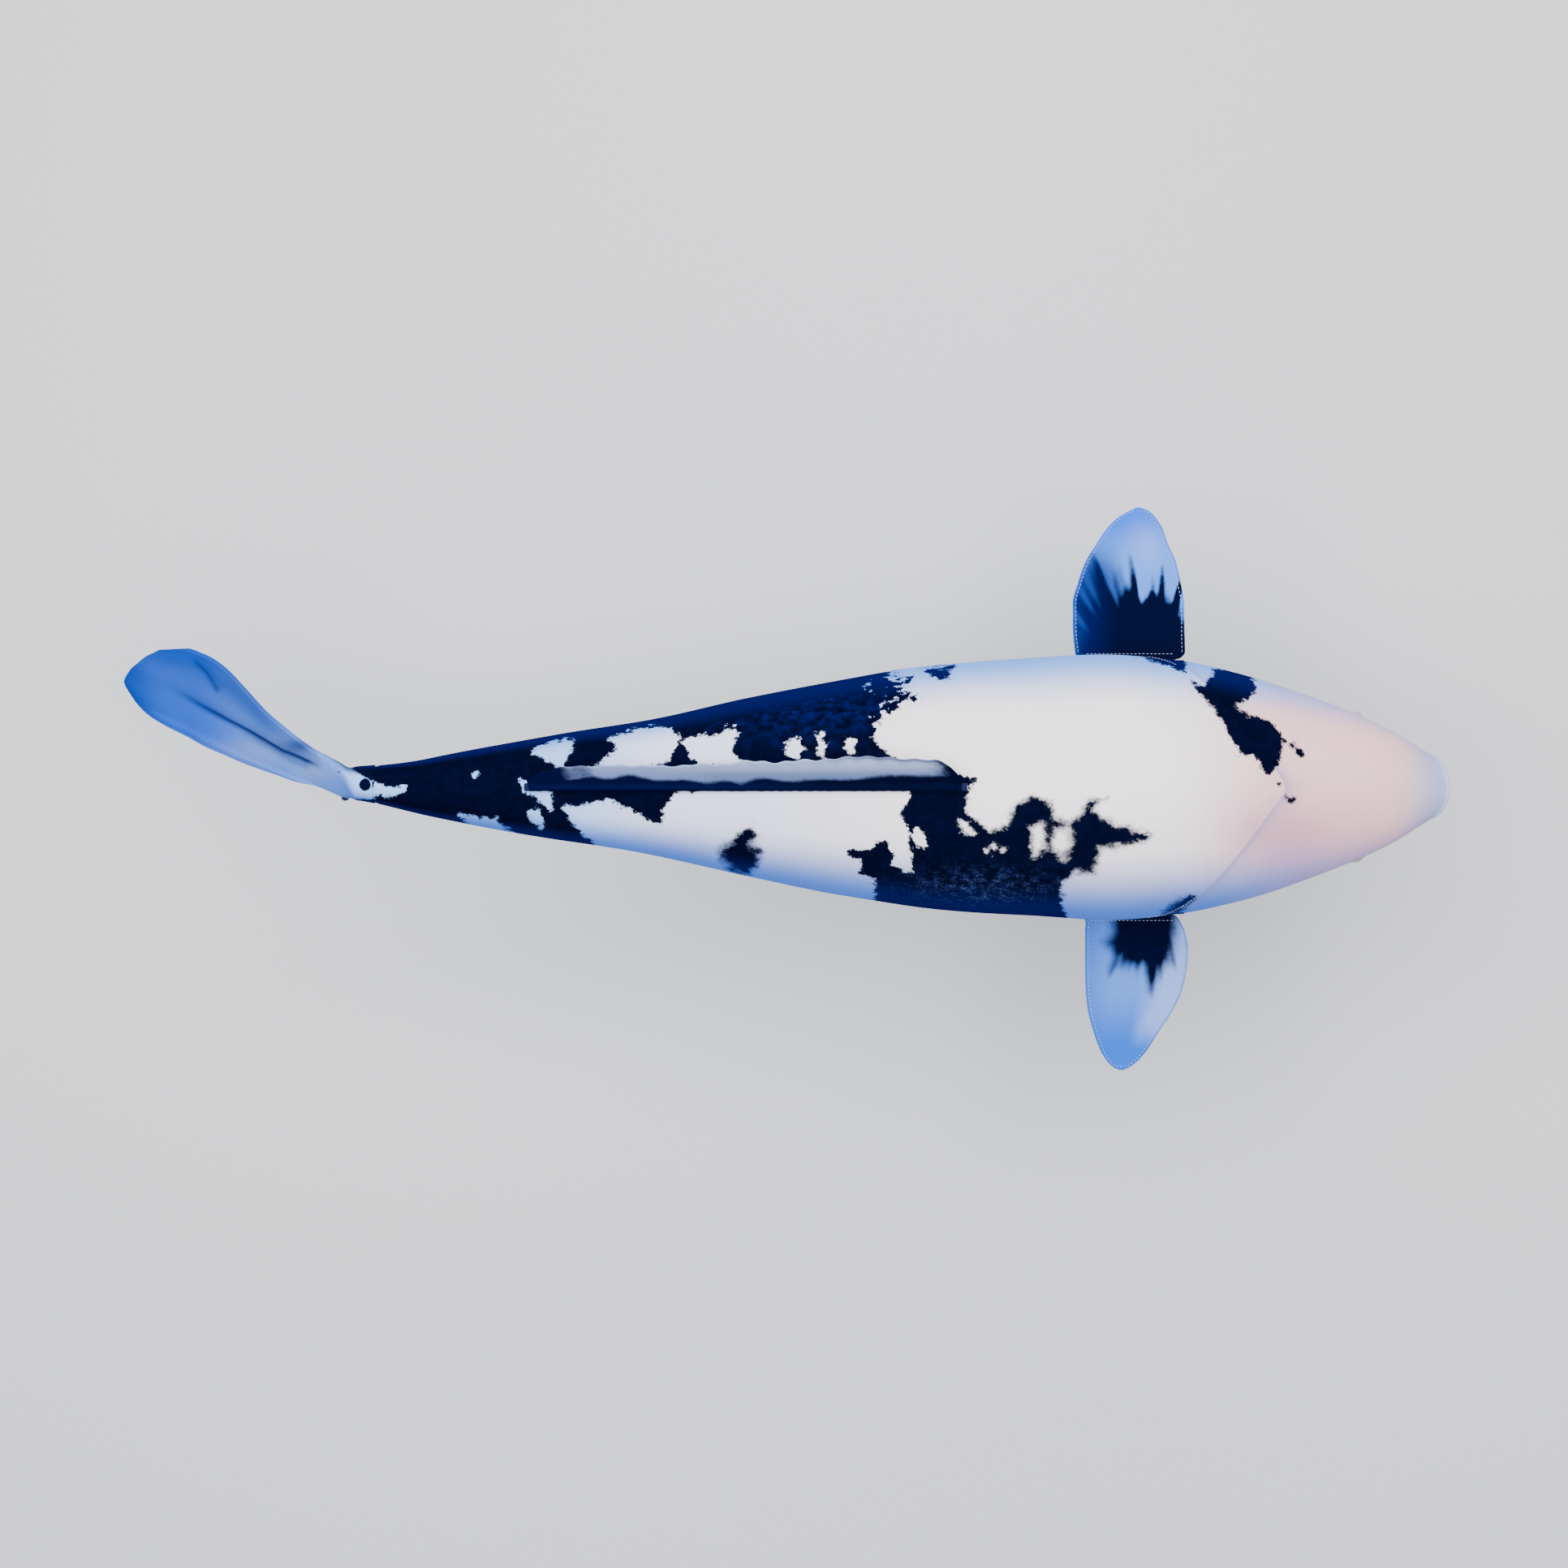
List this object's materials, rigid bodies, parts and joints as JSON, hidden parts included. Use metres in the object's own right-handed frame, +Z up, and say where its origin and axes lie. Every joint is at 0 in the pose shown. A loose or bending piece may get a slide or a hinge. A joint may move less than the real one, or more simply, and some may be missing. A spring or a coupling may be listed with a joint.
{
  "type": "carp streamer",
  "caption": "Wind-filled carp streamer of sewn fabric panels over hoops, with a mouth ring, hinged fins and a swinging tail.",
  "frame": {"origin": "centre of the mouth ring", "axes": "+X forward to the nose, +Y to the fish's left, +Z up"},
  "size_m": [1.0024, 0.4243, 0.2454],
  "materials": {
    "white_fabric": "white ripstop polyester printed with ink-black and blue patches",
    "ink_fabric": "ripstop polyester printed ink black to deep blue",
    "blue_fabric": "thin translucent blue ripstop",
    "fibreglass": "pale pultruded fibreglass rod",
    "moulded_ring": "moulded pale grey plastic",
    "webbing": "woven blue binding tape",
    "eye_white": "glossy cream",
    "eye_black": "glossy black"
  },
  "bodies": {
    "front": {"mouth_ring": "moulded_ring", "lip_hem": "white_fabric", "head_left_panel": "white_fabric", "head_right_panel": "white_fabric", "throat_panel": "white_fabric", "shoulder_left_panel": "white_fabric", "shoulder_right_panel": "white_fabric", "chest_panel": "white_fabric", "gill_hoop": "fibreglass", "waist_front_hoop": "fibreglass", "left_eye_iris": "eye_white", "left_eye_pupil": "eye_black", "right_eye_iris": "eye_white", "right_eye_pupil": "eye_black", "left_pectoral_hinge_rod": "fibreglass", "left_pectoral_front_loop": "webbing", "left_pectoral_rear_loop": "webbing", "right_pectoral_hinge_rod": "fibreglass", "right_pectoral_front_loop": "webbing", "right_pectoral_rear_loop": "webbing"},
    "left_pectoral": {"left_pectoral_membrane": "blue_fabric", "left_pectoral_spar": "fibreglass"},
    "right_pectoral": {"right_pectoral_membrane": "blue_fabric", "right_pectoral_spar": "fibreglass"},
    "middle": {"waist_gusset": "ink_fabric", "middle_left_panel": "ink_fabric", "middle_right_panel": "ink_fabric", "belly_panel": "white_fabric", "waist_rear_hoop": "fibreglass", "middle_hoop": "fibreglass", "rear_hoop": "fibreglass", "dorsal_hinge_rod": "fibreglass", "dorsal_front_loop": "webbing", "dorsal_rear_loop": "webbing"},
    "dorsal": {"dorsal_membrane": "ink_fabric", "dorsal_front_batten": "fibreglass", "dorsal_middle_batten": "fibreglass", "dorsal_rear_batten": "fibreglass"},
    "left_pelvic": {"left_pelvic_fin": "blue_fabric"},
    "right_pelvic": {"right_pelvic_fin": "blue_fabric"},
    "anal": {"anal_fin": "blue_fabric"},
    "rear": {"rear_gusset": "ink_fabric", "rear_sleeve": "ink_fabric", "stalk_hoop": "fibreglass"},
    "stalk": {"droop_gusset": "ink_fabric", "stalk_sleeve": "ink_fabric", "tail_hoop": "fibreglass", "tail_hinge_pin": "fibreglass", "tail_upper_loop": "webbing", "tail_lower_loop": "webbing"},
    "tail": {"tail_membrane": "blue_fabric", "tail_upper_spar": "fibreglass", "tail_lower_spar": "fibreglass"}
  },
  "joints": [
    {"name": "body_bend", "type": "hinge", "parent": "front", "child": "middle", "pos_m": [-0.327, 0, 0.01297], "axis": [0, 0, 1], "range_deg": [-12, 12], "stiffness_Nm_per_rad": 0.6, "deforming": ["waist_gusset"]},
    {"name": "rear_bend", "type": "hinge", "parent": "middle", "child": "rear", "pos_m": [-0.69, 0, 0.02346], "axis": [0, 0, 1], "range_deg": [-18, 18], "stiffness_Nm_per_rad": 0.4, "deforming": ["rear_gusset"]},
    {"name": "tail_droop", "type": "hinge", "parent": "rear", "child": "stalk", "pos_m": [-0.75, 0.00146, 0.0242], "axis": [0, 1, 0], "range_deg": [-18, 12], "stiffness_Nm_per_rad": 1.5, "deforming": ["droop_gusset"]},
    {"name": "tail_sway", "type": "hinge", "parent": "stalk", "child": "tail", "pos_m": [-0.8156, 0.003, 0.02497], "axis": [0, 0.4695, 0.8829], "range_deg": [-8, 65], "stiffness_Nm_per_rad": 0.3},
    {"name": "left_pectoral_flap", "type": "hinge", "parent": "front", "child": "left_pectoral", "pos_m": [-0.2205, 0.09401, -0.03529], "axis": [1, 0, 0], "range_deg": [-35, 45], "stiffness_Nm_per_rad": 0.15},
    {"name": "right_pectoral_flap", "type": "hinge", "parent": "front", "child": "right_pectoral", "pos_m": [-0.2205, -0.09401, -0.03529], "axis": [-1, 0, 0], "range_deg": [-35, 45], "stiffness_Nm_per_rad": 0.15},
    {"name": "dorsal_fold", "type": "hinge", "parent": "middle", "child": "dorsal", "pos_m": [-0.51324, 0, 0.09763], "axis": [0.9878, 0, 0.1556], "range_deg": [-25, 95], "stiffness_Nm_per_rad": 0.06},
    {"name": "left_pelvic_flap", "type": "hinge", "parent": "middle", "child": "left_pelvic", "pos_m": [-0.4071, 0.04371, -0.0678], "axis": [0.9757, 0.0793, -0.2043], "range_deg": [-25, 25], "stiffness_Nm_per_rad": 0.01},
    {"name": "right_pelvic_flap", "type": "hinge", "parent": "middle", "child": "right_pelvic", "pos_m": [-0.4071, -0.04371, -0.0678], "axis": [-0.9757, 0.0793, 0.2043], "range_deg": [-25, 25], "stiffness_Nm_per_rad": 0.01},
    {"name": "anal_sway", "type": "hinge", "parent": "middle", "child": "anal", "pos_m": [-0.63508, 0, -0.02956], "axis": [0.9794, 0, -0.202], "range_deg": [-25, 25], "stiffness_Nm_per_rad": 0.01}
  ]
}
